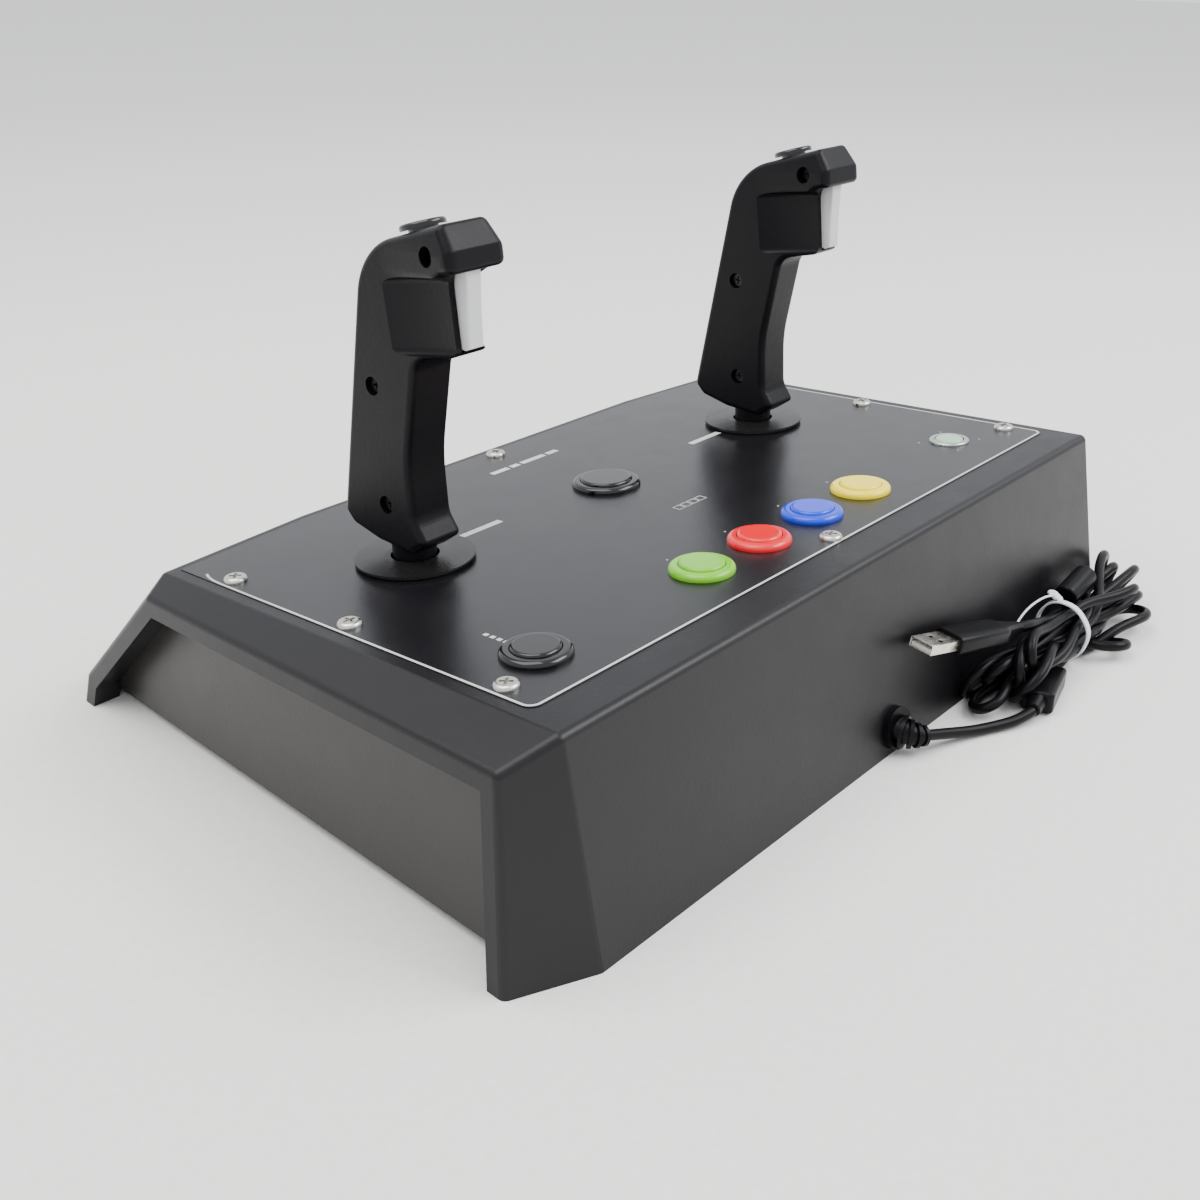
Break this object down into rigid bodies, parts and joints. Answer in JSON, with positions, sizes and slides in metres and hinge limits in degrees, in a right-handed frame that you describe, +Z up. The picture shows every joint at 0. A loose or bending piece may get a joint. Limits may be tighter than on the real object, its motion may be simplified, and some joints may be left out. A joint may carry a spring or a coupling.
{
  "type": "arcade joystick control panel",
  "caption": "Wedge-shaped arcade control panel with two flight-style trigger sticks, coloured push buttons, a round guide button and a tied cable.",
  "frame": {"origin": "middle of the housing on the surface it stands on", "axes": "+X to the player's right, +Y to the rear (cable side), +Z up"},
  "size_m": [0.4566, 0.3535, 0.2264],
  "materials": {
    "housing_plastic": "fine textured satin",
    "top_film": "satin printed film",
    "steel": "plain",
    "painted_steel": "satin black",
    "foot_rubber": "matte",
    "nickel": "bright nickel plate",
    "board": "solder mask",
    "green_plastic": "gloss",
    "red_plastic": "gloss",
    "blue_plastic": "gloss",
    "yellow_plastic": "gloss",
    "black_gloss": "gloss",
    "black_nylon": "plain",
    "switch_plastic": "plain",
    "guide_silver": "satin",
    "guide_lens": "frosted, pale green",
    "grip_plastic": "satin",
    "disc_plastic": "satin",
    "trigger_grey": "satin",
    "cable_rubber": "satin",
    "tie_white": "plain"
  },
  "bodies": {
    "root": {"button_body_blue": "blue_plastic", "button_body_centre": "black_gloss", "button_body_green": "green_plastic", "button_body_red": "red_plastic", "button_body_start": "black_gloss", "button_body_yellow": "yellow_plastic", "button_nuts": "black_nylon", "button_springs": "steel", "cable_connector": "cable_rubber", "cable_gland": "cable_rubber", "cable_hank": "cable_rubber", "cable_lead": "cable_rubber", "cable_tie": "tie_white", "circuit_board": "board", "end_panel_left": "housing_plastic", "end_panel_right": "housing_plastic", "ferrite": "cable_rubber", "floor_plate": "painted_steel", "floor_screws": "nickel", "guide_ring": "guide_silver", "housing_shell": "housing_plastic", "microswitches": "switch_plastic", "mounting_plate": "steel", "panel_screws": "nickel", "rubber_feet": "foot_rubber", "stick_base_l": "black_nylon", "stick_base_r": "black_nylon", "top_overlay": "top_film", "usb_plug": "cable_rubber"},
    "plunger_blue": {"button_plunger_blue": "blue_plastic"},
    "plunger_centre": {"button_plunger_centre": "black_gloss"},
    "plunger_green": {"button_plunger_green": "green_plastic"},
    "plunger_red": {"button_plunger_red": "red_plastic"},
    "plunger_start": {"button_plunger_start": "black_gloss"},
    "plunger_yellow": {"button_plunger_yellow": "yellow_plastic"},
    "disc_l": {"dust_disc_l": "disc_plastic"},
    "disc_r": {"dust_disc_r": "disc_plastic"},
    "washer_l": {"dust_washer_l": "black_nylon"},
    "washer_r": {"dust_washer_r": "black_nylon"},
    "stick_l": {"grip_screws_l": "nickel", "grip_shell_left_l": "grip_plastic", "grip_shell_right_l": "grip_plastic", "grip_switches_l": "switch_plastic", "stick_shaft_l": "steel", "stick_spring_l": "steel", "trigger_pin_l": "steel"},
    "stick_r": {"grip_screws_r": "nickel", "grip_shell_left_r": "grip_plastic", "grip_shell_right_r": "grip_plastic", "grip_switches_r": "switch_plastic", "stick_shaft_r": "steel", "stick_spring_r": "steel", "trigger_pin_r": "steel"},
    "guide_button": {"guide_lens": "guide_lens"},
    "yoke_l": {"stick_yoke_l": "black_nylon"},
    "yoke_r": {"stick_yoke_r": "black_nylon"},
    "thumb_l": {"thumb_button_l": "black_gloss"},
    "thumb_r": {"thumb_button_r": "black_gloss"},
    "trigger_body_l": {"trigger_l": "trigger_grey"},
    "trigger_body_r": {"trigger_r": "trigger_grey"}
  },
  "joints": [
    {"name": "pitch_r", "type": "hinge", "parent": "root", "child": "yoke_r", "pos_m": [0.1216, -0.01315, 0.05105], "axis": [1, 0, 0], "range_deg": [-10, 10], "stiffness_Nm_per_rad": 2.5},
    {"name": "roll_r", "type": "hinge", "parent": "yoke_r", "child": "stick_r", "pos_m": [0.1216, -0.01315, 0.05105], "axis": [0, 0.9981, 0.061], "range_deg": [-10, 10], "stiffness_Nm_per_rad": 2.5},
    {"name": "trigger_r", "type": "hinge", "parent": "stick_r", "child": "trigger_body_r", "pos_m": [0.1216, 0.02413, 0.21143], "axis": [-1, 0, 0], "range_deg": [0, 9], "stiffness_Nm_per_rad": 0.4},
    {"name": "thumb_r", "type": "slide", "parent": "stick_r", "child": "thumb_r", "axis": [0, 0.2924, -0.9563], "range_m": [0, 0.0008], "stiffness_N_per_m": 300},
    {"name": "washer_r", "type": "slide", "parent": "root", "child": "washer_r", "axis": [0, 0.9981, 0.061], "range_m": [-0.0054, 0.0054]},
    {"name": "disc_r", "type": "slide", "parent": "washer_r", "child": "disc_r", "axis": [1, 0, 0], "range_m": [-0.0054, 0.0054]},
    {"name": "pitch_l", "type": "hinge", "parent": "root", "child": "yoke_l", "pos_m": [-0.1216, -0.01315, 0.05105], "axis": [1, 0, 0], "range_deg": [-10, 10], "stiffness_Nm_per_rad": 2.5},
    {"name": "roll_l", "type": "hinge", "parent": "yoke_l", "child": "stick_l", "pos_m": [-0.1216, -0.01315, 0.05105], "axis": [0, 0.9981, 0.061], "range_deg": [-10, 10], "stiffness_Nm_per_rad": 2.5},
    {"name": "trigger_l", "type": "hinge", "parent": "stick_l", "child": "trigger_body_l", "pos_m": [-0.1216, 0.02413, 0.21143], "axis": [-1, 0, 0], "range_deg": [0, 9], "stiffness_Nm_per_rad": 0.4},
    {"name": "thumb_l", "type": "slide", "parent": "stick_l", "child": "thumb_l", "axis": [0, 0.2924, -0.9563], "range_m": [0, 0.0008], "stiffness_N_per_m": 300},
    {"name": "washer_l", "type": "slide", "parent": "root", "child": "washer_l", "axis": [0, 0.9981, 0.061], "range_m": [-0.0054, 0.0054]},
    {"name": "disc_l", "type": "slide", "parent": "washer_l", "child": "disc_l", "axis": [1, 0, 0], "range_m": [-0.0054, 0.0054]},
    {"name": "press_green", "type": "slide", "parent": "root", "child": "plunger_green", "axis": [0, 0.061, -0.9981], "range_m": [0, 0.0022], "stiffness_N_per_m": 300},
    {"name": "press_red", "type": "slide", "parent": "root", "child": "plunger_red", "axis": [0, 0.061, -0.9981], "range_m": [0, 0.0022], "stiffness_N_per_m": 300},
    {"name": "press_blue", "type": "slide", "parent": "root", "child": "plunger_blue", "axis": [0, 0.061, -0.9981], "range_m": [0, 0.0022], "stiffness_N_per_m": 300},
    {"name": "press_yellow", "type": "slide", "parent": "root", "child": "plunger_yellow", "axis": [0, 0.061, -0.9981], "range_m": [0, 0.0022], "stiffness_N_per_m": 300},
    {"name": "press_start", "type": "slide", "parent": "root", "child": "plunger_start", "axis": [0, 0.061, -0.9981], "range_m": [0, 0.0022], "stiffness_N_per_m": 300},
    {"name": "press_centre", "type": "slide", "parent": "root", "child": "plunger_centre", "axis": [0, 0.061, -0.9981], "range_m": [0, 0.0022], "stiffness_N_per_m": 300},
    {"name": "press_guide", "type": "slide", "parent": "root", "child": "guide_button", "axis": [0, 0.061, -0.9981], "range_m": [0, 0.0008], "stiffness_N_per_m": 400}
  ],
  "couplings": [
    {"joint": "washer_r", "follows": "pitch_r", "m_per_rad": -0.0298},
    {"joint": "disc_r", "follows": "roll_r", "m_per_rad": 0.0303},
    {"joint": "washer_l", "follows": "pitch_l", "m_per_rad": -0.0298},
    {"joint": "disc_l", "follows": "roll_l", "m_per_rad": 0.0303}
  ]
}
